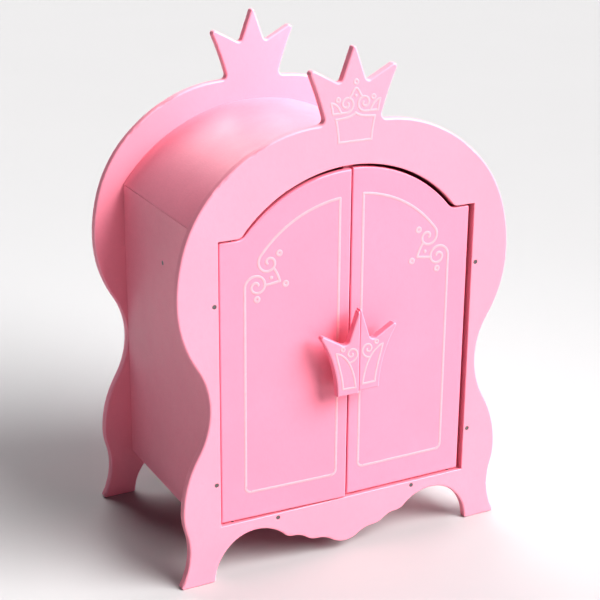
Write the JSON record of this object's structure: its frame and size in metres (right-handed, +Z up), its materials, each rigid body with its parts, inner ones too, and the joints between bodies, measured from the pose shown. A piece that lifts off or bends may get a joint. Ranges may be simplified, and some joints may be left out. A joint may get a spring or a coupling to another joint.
{
  "type": "miniature dolls' wardrobe",
  "caption": "Dolls' wardrobe with a crowned, waisted front frame and back board, a curved top, arched doors on pins and split crown handles.",
  "frame": {"origin": "on the floor under the middle of the bounding box, with the doors at rest", "axes": "+Z up, doors face -Y, +X to the right of someone facing the doors"},
  "size_m": [0.4044, 0.2745, 0.5777],
  "materials": {
    "board_paint": "satin pink paint on medium-density fibreboard",
    "door_paint": "satin pink paint, a shade deeper than the frame",
    "rail_wood": "bare turned wood",
    "steel": "zinc-plated steel",
    "line_paint": "raised pale pink-white line paint"
  },
  "bodies": {
    "cabinet": {"front_frame": "board_paint", "back_panel": "board_paint", "side_panel_left": "board_paint", "side_panel_right": "board_paint", "bottom_panel": "board_paint", "curved_top_panel": "board_paint", "hanging_rail": "rail_wood", "rail_screw_left": "steel", "rail_screw_right": "steel", "door_stop_block": "board_paint", "front_screws_left": "steel", "front_screws_right": "steel", "front_screws_bottom": "steel", "back_screws_left": "steel", "back_screws_right": "steel", "back_screws_bottom": "steel", "hinge_pin_left_top": "steel", "hinge_pin_left_bottom": "steel", "hinge_pin_right_top": "steel", "hinge_pin_right_bottom": "steel"},
    "left_door": {"door_left": "door_paint", "handle_left": "door_paint", "handle_spacer_left": "door_paint", "handle_screw_left": "steel"},
    "right_door": {"door_right": "door_paint", "handle_right": "door_paint", "handle_spacer_right": "door_paint", "handle_screw_right": "steel"}
  },
  "joints": [
    {"name": "left_door_hinge", "type": "hinge", "parent": "cabinet", "child": "left_door", "pos_m": [-0.1386, -0.104, 0.229], "axis": [0, 0, -1], "range_deg": [-2.3, 117.7]},
    {"name": "right_door_hinge", "type": "hinge", "parent": "cabinet", "child": "right_door", "pos_m": [0.1386, -0.104, 0.229], "axis": [0, 0, 1], "range_deg": [0, 120]}
  ]
}
